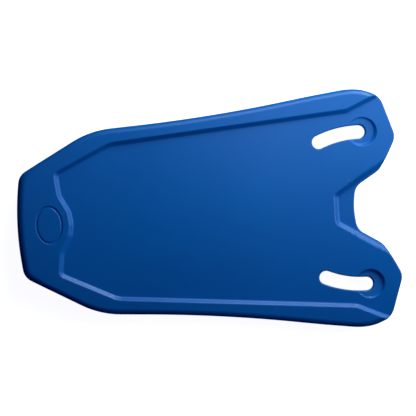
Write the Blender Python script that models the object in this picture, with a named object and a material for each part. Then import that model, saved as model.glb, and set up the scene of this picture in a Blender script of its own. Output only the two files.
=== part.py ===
"""Body-worn back plate: a moulded outer shell over a removable foam pad.

The plate lies on its body side with its face up. +X runs from the tail to the two ears, Y across,
and the model is symmetric about the XZ plane. Every piece is first made flat, in millimetres above
the plane of the shell's lower edge, and is then bent by one height formula, so that neighbouring
layers keep their gaps. Run with: blender --background --python part.py
"""

import math

import bmesh
import bpy
from mathutils import Matrix, Vector

# ---------------------------------------------------------------- driving dimensions, millimetres
MM = 0.001
GAP = 0.3                    # clearance between pieces that touch

WALL = 3.0                   # thickness of the moulded shell
EDGE_Z = 0.0                 # lower edge of the shell
RECESS_Z = 4.0               # top of the ledge behind the notch
PANEL_Z = 8.0                # top of the pocket panel
RIM_Z = 12.0                 # top of the raised rim
WALL_RUN = 2.0               # half the plan width of a 45 degree wall
ROLL_INSET = 5.5             # plan width of the rim's rounded outer edge
WALL_SHIFT = WALL * math.sqrt(2.0) - WALL   # how far a 45 degree wall's underside moves outwards

CROWN_RADIUS = 900.0         # across the back
FLARE_RADIUS = 1100.0        # lengthwise, lifting the ears off the back
FLARE_START_X = 60.0
KICK_RADIUS = 1800.0         # lengthwise, lifting the tail
KICK_START_X = -70.0
SLICE_PITCH = 20.0           # spacing of the cuts that let a flat piece bend
PLATE_STEP = 10.0            # longest side of an arc on the plate
PAD_STEP = 15.0              # and on the pad
FILLET_SHARE = 0.97          # most of a side that the fillets at its two ends may use

# Half outlines as corners (x, y, fillet radius), from the tail round to the middle of the notch.
PLATE_CORNERS = [
    (-193.2, 0.0, 328.0), (-186.3, 51.2, 16.0), (-113.1, 92.2, 91.0), (6.3, 99.1, 1575.0),
    (110.9, 115.0, 835.0), (145.9, 119.5, 70.0), (162.9, 118.2, 50.0), (178.6, 109.7, 20.0),
    (191.4, 69.0, 15.0), (182.1, 50.6, 206.0), (173.4, 36.5, 21.0), (148.8, 21.3, 15.0),
    (146.1, 0.0, 78.0),
]
POCKET_CORNERS = [
    (-136.2, 0.0, 20.0), (-138.0, 12.2, 12.0), (-147.0, 28.6, 14.0), (-149.5, 50.4, 5.0),
    (-94.2, 77.2, 30.0), (144.3, 97.4, 12.0), (215.8, 129.7, 5.0), (230.8, 0.0, 5.0),
]
RECESS_CORNERS = [(129.0, 13.8, 5.0), (215.8, 67.0, 5.0), (225.8, 0.0, 5.0)]
PAD_CORNERS = PLATE_CORNERS[:9] + [(178.4, 44.1, 12.0), (129.0, 13.8, 9.0)]

# Mounting slots: an arc of constant width with a round washer seat at the ear end.
SLOT_CENTRE = (153.9, -21.4)
SLOT_RADIUS = 97.3
SLOT_ANGLES = (89.6, 113.6)
SLOT_WIDTH = 13.4
SEAT_CENTRE = (157.8, 76.7)
SEAT_FLOOR_RADIUS = 12.9
SEAT_MOUTH_RADIUS = 15.4
SEAT_DEPTH = 2.4             # below the panel at the seat's centre
BOSS_RADIUS = 18.2
PAD_SLOT_WIDTH = 26.0        # the pad's opening round a slot
PAD_SEAT_RADIUS = 20.5       # and round the boss under a seat

# Badge field: one plain oval groove on the tail.
BADGE_X = -158.2
BADGE_RADII = (12.5, 18.0)
BADGE_GROOVE = 2.4
BADGE_DEPTH = 0.8

# Pad layers, as heights over the shell's lower edge, and their inset from the plate's outline.
IMPACT_TOP_Z = 2.2
IMPACT_BOTTOM_Z = -5.3
COMFORT_THICK = 5.0
LINING_THICK = 1.0
BINDING_THICK = 1.0
BINDING_INSET = 4.0
BINDING_FLAP = 5.5
PAD_INSET = BINDING_INSET + BINDING_THICK + GAP
PATCH_RADIUS = 20.0
PATCH_SPOTS = [(-108.0, 34.0), (-8.0, 50.0), (84.0, 52.0)]
LOOP_THICK = 0.9
HOOK_THICK = 1.0

COMFORT_TOP_Z = IMPACT_BOTTOM_Z - GAP
COMFORT_BOTTOM_Z = COMFORT_TOP_Z - COMFORT_THICK
LINING_TOP_Z = COMFORT_BOTTOM_Z - GAP
LINING_BOTTOM_Z = LINING_TOP_Z - LINING_THICK
BINDING_BOTTOM_Z = LINING_BOTTOM_Z - GAP - BINDING_THICK
LOOP_BOTTOM_Z = IMPACT_TOP_Z + GAP
HOOK_TOP_Z = PANEL_Z - WALL - GAP

# name: (colour, roughness)
MATERIALS = {
    "shell_plastic": ((0.0, 0.075, 0.32), 0.42),
    "impact_eva": ((0.03, 0.03, 0.035), 0.8),
    "comfort_foam": ((0.42, 0.43, 0.45), 0.9),
    "lining_fabric": ((0.045, 0.05, 0.06), 0.85),
    "binding_tape": ((0.02, 0.02, 0.024), 0.75),
    "hook_tape": ((0.015, 0.015, 0.017), 0.7),
    "loop_tape": ((0.03, 0.03, 0.033), 0.95),
}


# ---------------------------------------------------------------- plan outlines
def full_outline(half):
    """Mirror a half outline; a corner on the axis is kept once."""
    return half + [(x, -y, r) for x, y, r in reversed(half) if y > 0.0]


def corner_turns(places):
    """Angle between the two sides at each corner, as the amount by which the outline turns."""
    turns = []
    for index, place in enumerate(places):
        back = places[index - 1] - place
        ahead = places[(index + 1) % len(places)] - place
        turns.append(math.pi - back.angle(ahead))
    return turns


def fitting_radii(corners, places, turns):
    """Corner radii, reduced where two neighbouring fillets would meet on their shared side."""
    tangents = [c[2] * math.tan(turn / 2.0) for c, turn in zip(corners, turns)]
    radii = [c[2] for c in corners]
    for index in range(len(corners)):
        side = (places[index] - places[index - 1]).length
        excess = (tangents[index] + tangents[index - 1]) / (FILLET_SHARE * side)
        if excess > 1.0:
            radii[index] = min(radii[index], corners[index][2] / excess)
            radii[index - 1] = min(radii[index - 1], corners[index - 1][2] / excess)
    return radii


def outline_points(half, inset=0.0, step=PLATE_STEP):
    """Points round a rounded outline, moved inwards by inset, with the same count for any inset.

    The corners run from the tail along +Y, which is clockwise, so the inside is on the right.
    """
    corners = full_outline(half)
    count = len(corners)
    places = [Vector(c[:2]) for c in corners]
    turns = corner_turns(places)
    radii = fitting_radii(corners, places, turns)
    shifted = []
    for index in range(count):
        before = (places[index] - places[index - 1]).normalized()
        after = (places[(index + 1) % count] - places[index]).normalized()
        normal = Vector((before.y, -before.x))
        middle = (normal + Vector((after.y, -after.x))).normalized()
        shifted.append(places[index] + middle * (inset / middle.dot(normal)))
    points = []
    for index, turn in enumerate(turns):
        corner = shifted[index]
        back = (shifted[index - 1] - corner).normalized()
        ahead = (shifted[(index + 1) % count] - corner).normalized()
        sense = -1.0 if back.cross(ahead) > 0.0 else 1.0
        radius = max(radii[index] + sense * inset, 0.4)
        steps = max(2, math.ceil(max(radii[index] * turn / step, turn / math.radians(22.0))))
        centre = corner + (back + ahead).normalized() * (radius / math.cos(turn / 2.0))
        start = corner + back * (radius * math.tan(turn / 2.0)) - centre
        for number in range(steps + 1):
            arm = start.copy()
            arm.rotate(Matrix.Rotation(sense * turn * number / steps, 2))
            points.append(centre + arm)
    return points


def pad_points(inset):
    """Points round the pad's outline."""
    return outline_points(PAD_CORNERS, inset, PAD_STEP)


def arc_slot_points(width):
    """Outline of a slot of constant width along an arc, with round ends."""
    low, high = (math.radians(angle) for angle in SLOT_ANGLES)
    centre = Vector(SLOT_CENTRE)
    points = []
    for radius, start, end in (
        (SLOT_RADIUS + width / 2.0, high, low), (SLOT_RADIUS - width / 2.0, low, high)
    ):
        for number in range(9):
            angle = start + (end - start) * number / 8
            points.append(centre + radius * Vector((math.cos(angle), math.sin(angle))))
        cap = centre + SLOT_RADIUS * Vector((math.cos(end), math.sin(end)))
        arm = points[-1] - cap
        for number in range(1, 8):
            turned = arm.copy()
            turned.rotate(Matrix.Rotation(-math.pi * number / 8, 2))
            points.append(cap + turned)
    return points


def circle_points(centre, radius, count=40):
    """Points round a circle or, with two radii, an ellipse."""
    radius_x, radius_y = radius if isinstance(radius, tuple) else (radius, radius)
    return [
        Vector((centre[0] + radius_x * math.cos(2 * math.pi * n / count),
                centre[1] - radius_y * math.sin(2 * math.pi * n / count)))
        for n in range(count)
    ]


def mirrored(points):
    """The same outline on the other side of the XZ plane."""
    return [Vector((p.x, -p.y)) for p in reversed(points)]


# ---------------------------------------------------------------- solids
def bend_height(x, y):
    """Height that the bent plate adds over the point (x, y), all in millimetres."""
    crown = -y * y / (2.0 * CROWN_RADIUS)
    flare = max(0.0, x - FLARE_START_X) ** 2 / (2.0 * FLARE_RADIUS)
    kick = max(0.0, KICK_START_X - x) ** 2 / (2.0 * KICK_RADIUS)
    return crown + flare + kick


def base_height():
    """Lift that puts the binding's lowest point on the floor."""
    lowest = min(bend_height(p.x, p.y) for p in pad_points(BINDING_INSET))
    return -(lowest + BINDING_BOTTOM_Z)


def new_object(name, bm, collection):
    """Store a bmesh, whose units are millimetres, as an object in metres."""
    bmesh.ops.recalc_face_normals(bm, faces=bm.faces)
    bmesh.ops.scale(bm, vec=(MM, MM, MM), verts=bm.verts)
    mesh = bpy.data.meshes.new(name)
    bm.to_mesh(mesh)
    bm.free()
    obj = bpy.data.objects.new(name, mesh)
    collection.objects.link(obj)
    return obj


def loft(sections, closed_round=False):
    """A bmesh through sections of (points, height), capped, or closed on itself as a ring."""
    bm = bmesh.new()
    points, height = sections[0]
    verts = [bm.verts.new((p.x, p.y, height)) for p in points]
    count = len(verts)
    edges = [bm.edges.new((verts[n], verts[(n + 1) % count])) for n in range(count)]
    first = list(edges)
    for points, height in sections[1:]:
        made = bmesh.ops.extrude_edge_only(bm, edges=edges)["geom"]
        edges = [item for item in made if isinstance(item, bmesh.types.BMEdge)]
        new_verts = [item for item in made if isinstance(item, bmesh.types.BMVert)]
        ends = set(new_verts)
        for vert, place in zip(verts, points):
            link = next(e.other_vert(vert) for e in vert.link_edges if e.other_vert(vert) in ends)
            link.co = (place.x, place.y, height)
        verts = [
            next(e.other_vert(v) for e in v.link_edges if e.other_vert(v) in ends) for v in verts
        ]
        edges = [e for e in edges if e.verts[0] in ends and e.verts[1] in ends]
    if closed_round:
        bmesh.ops.bridge_loops(bm, edges=first + edges)
    else:
        bmesh.ops.holes_fill(bm, edges=first + edges, sides=0)
    return bm


def prism(points, low, high):
    """A straight-sided solid between two heights."""
    return loft([(points, low), (points, high)])


def cut(obj, cutter, operation="DIFFERENCE"):
    """Add an exact Boolean to an object."""
    modifier = obj.modifiers.new(cutter.name, "BOOLEAN")
    modifier.operation = operation
    modifier.solver = "EXACT"
    modifier.object = cutter
    cutter.display_type = "WIRE"
    cutter.hide_render = True


def apply_modifiers(obj):
    """Replace an object's mesh by its evaluated one."""
    graph = bpy.context.evaluated_depsgraph_get()
    mesh = bpy.data.meshes.new_from_object(obj.evaluated_get(graph))
    obj.modifiers.clear()
    obj.data = mesh


def bend(obj, lift):
    """Slice a flat piece at regular stations and move its points to the bent shape."""
    bm = bmesh.new()
    bm.from_mesh(obj.data)
    for axis, reach in ((0, 208.0), (1, 128.0)):
        stations = int(reach / SLICE_PITCH)
        for number in range(-stations, stations + 1):
            place = Vector()
            place[axis] = number * SLICE_PITCH * MM
            normal = Vector()
            normal[axis] = 1.0
            geometry = bm.verts[:] + bm.edges[:] + bm.faces[:]
            bmesh.ops.bisect_plane(bm, geom=geometry, dist=1e-6, plane_co=place, plane_no=normal)
    bmesh.ops.remove_doubles(bm, verts=bm.verts, dist=2e-5)
    bmesh.ops.triangulate(bm, faces=bm.faces)
    for vert in bm.verts:
        vert.co.z += (bend_height(vert.co.x / MM, vert.co.y / MM) + lift) * MM
    bm.to_mesh(obj.data)
    bm.free()


def dress(obj, material_name):
    """Give an object its own Principled material."""
    colour, roughness = MATERIALS[material_name]
    material = bpy.data.materials.new(obj.name)
    material.use_nodes = True
    shader = material.node_tree.nodes["Principled BSDF"]
    shader.inputs["Base Color"].default_value = (*colour, 1.0)
    shader.inputs["Roughness"].default_value = roughness
    shader.inputs["Metallic"].default_value = 0.0
    material.diffuse_color = (*colour, 1.0)
    obj.data.materials.clear()
    obj.data.materials.append(material)


# ---------------------------------------------------------------- pieces
def flat_shell(parts, cutters):
    """The moulded tray before it is bent: rim, pocket, recess, badge groove and hollow back."""
    body = new_object("outer_shell", loft([
        (outline_points(PLATE_CORNERS), EDGE_Z),
        (outline_points(PLATE_CORNERS), PANEL_Z - 1.0),
        (outline_points(PLATE_CORNERS, 1.6), RIM_Z - 1.8),
        (outline_points(PLATE_CORNERS, ROLL_INSET), RIM_Z),
    ]), parts)
    above = RIM_Z + 2.0
    pocket = new_object("pocket_cutter", loft([
        (outline_points(POCKET_CORNERS, WALL_RUN), PANEL_Z),
        (outline_points(POCKET_CORNERS, -WALL_RUN), RIM_Z),
        (outline_points(POCKET_CORNERS, -WALL_RUN - 2.0), above),
    ]), cutters)
    recess = new_object("recess_cutter", loft([
        (outline_points(RECESS_CORNERS, WALL_RUN), RECESS_Z),
        (outline_points(RECESS_CORNERS, -WALL_RUN), PANEL_Z),
        (outline_points(RECESS_CORNERS, -WALL_RUN - 2.0), PANEL_Z + 2.0),
    ]), cutters)
    hollow = new_object("hollow_cutter", loft([
        (outline_points(PLATE_CORNERS, WALL), EDGE_Z - 1.0),
        (outline_points(PLATE_CORNERS, WALL), PANEL_Z - 1.8),
        (outline_points(PLATE_CORNERS, WALL + 3.0), RIM_Z - WALL),
    ]), cutters)
    for name, corners, top in (
        ("pocket_core", POCKET_CORNERS, PANEL_Z), ("recess_core", RECESS_CORNERS, RECESS_Z)
    ):
        low = top - WALL
        near = WALL_RUN - WALL_SHIFT
        rise = 2.0 * WALL_RUN
        core = new_object(name, loft([
            (outline_points(corners, near), low),
            (outline_points(corners, near - rise), low + rise),
            (outline_points(corners, near - rise - 2.0), low + rise + 2.0),
        ]), cutters)
        cut(hollow, core)
    outer = tuple(r + BADGE_GROOVE / 2.0 for r in BADGE_RADII)
    inner = tuple(r - BADGE_GROOVE / 2.0 for r in BADGE_RADII)
    badge = new_object("badge_cutter", loft([
        (circle_points((BADGE_X, 0.0), outer), above),
        (circle_points((BADGE_X, 0.0), outer), RIM_Z - BADGE_DEPTH),
        (circle_points((BADGE_X, 0.0), inner), RIM_Z - BADGE_DEPTH),
        (circle_points((BADGE_X, 0.0), inner), above),
    ], closed_round=True), cutters)
    for cutter in (pocket, recess, hollow, badge):
        cut(body, cutter)
    apply_modifiers(body)
    return body


def tilt_top(boss, floor):
    """Lean a boss's top face, so that it stays inside the panel over it."""
    centre_x, centre_y = SEAT_CENTRE
    for vert in boss.data.vertices:
        if vert.co.z > floor * MM:
            along = (vert.co.x - centre_x * MM) * (centre_x - FLARE_START_X) / FLARE_RADIUS
            across = (abs(vert.co.y) - centre_y * MM) * centre_y / CROWN_RADIUS
            vert.co.z += along - across


def seat_parts(side, lift, cutters):
    """Boss, seat cutter and slot cutter for one side, already at their bent height."""
    label = "left" if side > 0 else "right"
    panel = PANEL_Z + bend_height(*SEAT_CENTRE) + lift
    floor = panel - SEAT_DEPTH
    mirror = mirrored if side < 0 else list
    boss_ring = mirror(circle_points(SEAT_CENTRE, BOSS_RADIUS))
    floor_ring = mirror(circle_points(SEAT_CENTRE, SEAT_FLOOR_RADIUS))
    mouth_ring = mirror(circle_points(SEAT_CENTRE, SEAT_MOUTH_RADIUS))
    wide_ring = mirror(circle_points(SEAT_CENTRE, SEAT_MOUTH_RADIUS + 2.0))
    slot_ring = mirror(arc_slot_points(SLOT_WIDTH))
    rise = SEAT_MOUTH_RADIUS - SEAT_FLOOR_RADIUS
    boss = new_object(label + "_boss", prism(boss_ring, floor - WALL, panel - 1.0), cutters)
    tilt_top(boss, floor)
    seat = new_object(label + "_seat_cutter", loft([
        (floor_ring, floor), (mouth_ring, floor + rise), (wide_ring, floor + rise + 4.0)
    ]), cutters)
    slot = new_object(label + "_slot_cutter", prism(slot_ring, panel - 20.0, panel + 20.0), cutters)
    return boss, seat, slot


def build_shell(parts, cutters, lift):
    """The bent shell with its two washer seats and arc slots."""
    shell = flat_shell(parts, cutters)
    bend(shell, lift)
    for side in (1, -1):
        boss, seat, slot = seat_parts(side, lift, cutters)
        cut(shell, boss, "UNION")
        cut(shell, seat)
        cut(shell, slot)
    dress(shell, "shell_plastic")


def build_layer(name, low, high, material, parts, openings, lift):
    """One pad layer on the pad's outline, with its openings round the slots."""
    layer = new_object(name, prism(pad_points(PAD_INSET), low, high), parts)
    for cutter in openings:
        cut(layer, cutter)
    apply_modifiers(layer)
    bend(layer, lift)
    dress(layer, material)


def build_pad(parts, cutters, lift):
    """Foam layers, lining and the binding tape round their edge."""
    openings = []
    for side, label in ((1, "left"), (-1, "right")):
        mirror = mirrored if side < 0 else list
        slot_ring = mirror(arc_slot_points(PAD_SLOT_WIDTH))
        seat_ring = mirror(circle_points(SEAT_CENTRE, PAD_SEAT_RADIUS))
        openings.append(new_object(label + "_pad_slot", prism(slot_ring, -20.0, 10.0), cutters))
        openings.append(new_object(label + "_pad_seat", prism(seat_ring, -21.0, 11.0), cutters))
    for name, low, high, material in (
        ("impact_foam", IMPACT_BOTTOM_Z, IMPACT_TOP_Z, "impact_eva"),
        ("comfort_foam", COMFORT_BOTTOM_Z, COMFORT_TOP_Z, "comfort_foam"),
        ("body_lining", LINING_BOTTOM_Z, LINING_TOP_Z, "lining_fabric"),
    ):
        build_layer(name, low, high, material, parts, openings, lift)
    outside = pad_points(BINDING_INSET)
    inside = pad_points(BINDING_INSET + BINDING_THICK)
    flap = pad_points(BINDING_INSET + BINDING_FLAP)
    top_inner = IMPACT_TOP_Z + GAP
    bottom_inner = LINING_BOTTOM_Z - GAP
    binding = new_object("edge_binding", loft([
        (outside, top_inner + BINDING_THICK), (flap, top_inner + BINDING_THICK), (flap, top_inner),
        (inside, top_inner), (inside, bottom_inner), (flap, bottom_inner),
        (flap, BINDING_BOTTOM_Z), (outside, BINDING_BOTTOM_Z),
    ], closed_round=True), parts)
    bend(binding, lift)
    dress(binding, "binding_tape")


def build_patches(parts, lift):
    """Round hook patches under the shell, each over a loop patch on the pad."""
    number = 0
    for x, y in PATCH_SPOTS:
        for side in (1, -1):
            number += 1
            ring = circle_points((x, side * y), PATCH_RADIUS, 24)
            loop = new_object("loop_patch_%d" % number,
                              prism(ring, LOOP_BOTTOM_Z, LOOP_BOTTOM_Z + LOOP_THICK), parts)
            hook = new_object("hook_patch_%d" % number,
                              prism(ring, HOOK_TOP_Z - HOOK_THICK, HOOK_TOP_Z), parts)
            for patch, material in ((loop, "loop_tape"), (hook, "hook_tape")):
                bend(patch, lift)
                dress(patch, material)


def main():
    """Clear the scene and build every piece."""
    for obj in list(bpy.data.objects):
        bpy.data.objects.remove(obj, do_unlink=True)
    parts = bpy.data.collections.new("back_plate")
    cutters = bpy.data.collections.new("back_plate_cutters")
    for collection in (parts, cutters):
        bpy.context.scene.collection.children.link(collection)
    lift = base_height()
    build_shell(parts, cutters, lift)
    build_pad(parts, cutters, lift)
    build_patches(parts, lift)


main()
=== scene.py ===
"""Looks of a body-worn back plate: a moulded blue shell over a peel-off, fabric-faced foam pad.

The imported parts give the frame. Each sub-assembly below is a class that models its pieces at full
quality round that frame, dresses them in procedural materials and lets them ride on its body.
Plan sizes are in millimetres, and a mesh is scaled to metres once, when it is stored.
"""

import logging
import math
from dataclasses import dataclass, field
from enum import Enum
from typing import Callable, Iterable, Optional, Sequence

import bmesh
import bpy
import numpy as np
from bmesh.types import BMEdge, BMesh, BMVert
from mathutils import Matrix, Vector


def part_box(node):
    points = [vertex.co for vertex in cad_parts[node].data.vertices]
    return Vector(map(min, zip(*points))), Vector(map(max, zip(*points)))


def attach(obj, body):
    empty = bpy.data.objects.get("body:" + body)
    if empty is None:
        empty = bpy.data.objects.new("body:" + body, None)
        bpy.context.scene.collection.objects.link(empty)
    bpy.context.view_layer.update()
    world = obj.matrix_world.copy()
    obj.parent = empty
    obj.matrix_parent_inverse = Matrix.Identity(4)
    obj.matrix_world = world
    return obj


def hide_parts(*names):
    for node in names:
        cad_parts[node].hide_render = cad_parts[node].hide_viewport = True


Surface = Callable[[np.ndarray], np.ndarray]
Edge = tuple[np.ndarray, np.ndarray]
Point = tuple[float, float]
Triple = tuple[float, float, float]
Value = float | tuple | bpy.types.NodeSocket

MM = 0.001
TINY = 1e-12
BLOCK = 4000
PANEL_LIFT = 19.2907
LOG = logging.getLogger("back_plate")

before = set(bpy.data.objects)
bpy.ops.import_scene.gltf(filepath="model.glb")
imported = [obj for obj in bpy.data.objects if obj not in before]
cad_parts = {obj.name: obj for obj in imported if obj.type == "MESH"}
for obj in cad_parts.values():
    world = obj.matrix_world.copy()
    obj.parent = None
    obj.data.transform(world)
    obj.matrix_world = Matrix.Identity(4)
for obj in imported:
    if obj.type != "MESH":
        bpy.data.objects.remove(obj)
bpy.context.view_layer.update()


# ------------------------------------------------------------------ plan geometry
@dataclass(frozen=True)
class Outline:
    """A closed plan outline, symmetric about the X axis, given by the corners of its upper half.

    The corners run clockwise from the tail, each as (x, y, fillet radius) in millimetres.
    """

    corners: tuple[Triple, ...]
    fillet_share: float = 0.97

    def full(self) -> np.ndarray:
        """Both halves' corners; a corner on the axis is kept once."""
        half = list(self.corners)
        return np.array(half + [(x, -y, r) for x, y, r in reversed(half) if y > 0.0])

    def columns(self, step: float, side_step: float = 0.0) -> Edge:
        """Sample the outline.

        Args:
            step: Longest distance between two samples, in millimetres.
            side_step: The same for the straight sides, or 0 to use step there too.

        Returns:
            The points and their unit normals, which point inwards.
        """
        corners = self.full()
        places, wanted = corners[:, :2], corners[:, 2]
        sides = places - np.roll(places, 1, axis=0)
        lengths = np.linalg.norm(sides, axis=1)
        headings = sides / lengths[:, None]
        following = np.roll(headings, -1, axis=0)
        cross = headings[:, 0] * following[:, 1] - headings[:, 1] * following[:, 0]
        turns = np.arctan2(cross, (headings * following).sum(axis=1))
        reach = np.tan(np.abs(turns) / 2.0)
        radii = wanted.copy()
        for index in range(len(places)):
            shared = reach[index] * wanted[index] + reach[index - 1] * wanted[index - 1]
            excess = shared / (self.fillet_share * lengths[index])
            if excess > 1.0:
                radii[index] = min(radii[index], wanted[index] / excess)
                radii[index - 1] = min(radii[index - 1], wanted[index - 1] / excess)
        points: list[np.ndarray] = []
        normals: list[np.ndarray] = []
        for index, turn in enumerate(turns):
            start = places[index] - headings[index] * radii[index] * reach[index]
            if points:
                self._add_side(points, normals, start, headings[index], side_step or step)
            inward = np.array((headings[index][1], -headings[index][0]))
            side = -math.copysign(1.0, turn)
            centre = start + inward * radii[index] * side
            count = max(2, math.ceil(radii[index] * abs(turn) / step))
            for number in range(count + 1):
                angle = turn * number / count
                turned = _turned(inward, angle)
                points.append(centre - turned * radii[index] * side)
                normals.append(turned)
        first = points[0]
        self._add_side(points, normals, first, headings[0], side_step or step)
        return np.array(points), np.array(normals)

    @staticmethod
    def _add_side(points: list, normals: list, end: np.ndarray, heading: np.ndarray,
                  step: float) -> None:
        """Add samples along the straight side between the last point and end."""
        start = points[-1]
        length = float(np.linalg.norm(end - start))
        count = math.ceil(length / step)
        inward = np.array((heading[1], -heading[0]))
        for number in range(1, count):
            points.append(start + (end - start) * number / count)
            normals.append(inward)


def _turned(vector: np.ndarray, angle: float) -> np.ndarray:
    """A plan vector, turned anticlockwise."""
    cos, sin = math.cos(angle), math.sin(angle)
    return np.array((cos * vector[0] - sin * vector[1], sin * vector[0] + cos * vector[1]))


def arc_slot(centre: Point, radius: float, angles: Point, width: float, step: float) -> Edge:
    """Sample a slot of constant width that follows an arc and has round ends.

    Args:
        centre: The arc's centre.
        radius: The arc's radius, on the slot's centre line.
        angles: The arc's two ends, in degrees.
        width: The slot's width.
        step: Longest distance between two samples.

    Returns:
        The points, clockwise, and their unit normals, which point out of the slot.
    """
    low, high = (math.radians(angle) for angle in angles)
    middle = np.array(centre)
    half = width / 2.0
    points, normals = [], []
    for side, start, end in ((1.0, high, low), (-1.0, low, high)):
        count = math.ceil(radius * (high - low) / step)
        for number in range(count + 1):
            angle = start + (end - start) * number / count
            out = np.array((math.cos(angle), math.sin(angle)))
            points.append(middle + out * (radius + side * half))
            normals.append(out * side)
        cap = middle + radius * np.array((math.cos(end), math.sin(end)))
        out, around = normals[-1], math.ceil(math.pi * half / step)
        for number in range(1, around):
            turned = _turned(out, -math.pi * number / around)
            points.append(cap + turned * half)
            normals.append(turned)
    return np.array(points), np.array(normals)


def mirrored(edge: Edge, side: int) -> Edge:
    """An edge as it is at +Y, or its reflection if side is -1."""
    if side > 0:
        return edge
    flip = np.array((1.0, -1.0))
    return (edge[0] * flip)[::-1], (edge[1] * flip)[::-1]


def signed_distance(places: np.ndarray, loop: np.ndarray) -> np.ndarray:
    """Distance from each place to a closed loop, negative inside it."""
    result = np.empty(len(places))
    ends = np.roll(loop, -1, axis=0)
    along = ends - loop
    squared = np.maximum((along ** 2).sum(axis=1), TINY)
    for begin in range(0, len(places), BLOCK):
        block = places[begin:begin + BLOCK, None, :]
        share = np.clip(((block - loop) * along).sum(axis=2) / squared, 0.0, 1.0)
        gaps = block - (loop + share[:, :, None] * along)
        near = np.sqrt((gaps ** 2).sum(axis=2).min(axis=1))
        above = (loop[:, 1] > block[:, :, 1]) != (ends[:, 1] > block[:, :, 1])
        rise = np.where(np.abs(along[:, 1]) < 1e-9, 1e-9, along[:, 1])
        crossing = loop[:, 0] + (block[:, :, 1] - loop[:, 1]) / rise * along[:, 0]
        inside = (above & (block[:, :, 0] < crossing)).sum(axis=1) % 2 == 1
        result[begin:begin + BLOCK] = np.where(inside, -near, near)
    return result


@dataclass(frozen=True)
class WallProfile:
    """A straight slope between two levels, with a fillet at its foot and one at its top."""

    rise: float
    angle: float
    foot_radius: float
    top_radius: float
    shift: float = 0.0

    def height(self, across: np.ndarray) -> np.ndarray:
        """Height above the lower level.

        Args:
            across: Plan distance from the slope's middle, positive towards the upper level.
        """
        slope = math.tan(math.radians(self.angle))
        half_run = self.rise / slope / 2.0
        reach = math.tan(math.radians(self.angle) / 2.0)
        place = across - self.shift
        foot_edge = -half_run - self.foot_radius * reach
        top_edge = half_run + self.top_radius * reach
        sin = math.sin(math.radians(self.angle))
        foot_end = foot_edge + self.foot_radius * sin
        top_start = top_edge - self.top_radius * sin
        straight = (place + half_run) * slope
        into = np.clip(place - foot_edge, 0.0, self.foot_radius * sin)
        foot = self.foot_radius - np.sqrt(self.foot_radius ** 2 - into ** 2)
        back = np.clip(top_edge - place, 0.0, self.top_radius * sin)
        top = self.rise - self.top_radius + np.sqrt(self.top_radius ** 2 - back ** 2)
        return np.where(place < foot_end, foot, np.where(place > top_start, top, straight))


def smooth_min(first: np.ndarray, second: np.ndarray, width: float) -> np.ndarray:
    """The lower of two heights, with their meeting line rounded over about width."""
    mix = np.clip(0.5 + 0.5 * (second - first) / width, 0.0, 1.0)
    return second * (1.0 - mix) + first * mix - width * mix * (1.0 - mix)


def smoothstep(share: np.ndarray) -> np.ndarray:
    """Ease a share between 0 and 1 in and out."""
    return share * share * (3.0 - 2.0 * share)


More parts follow.
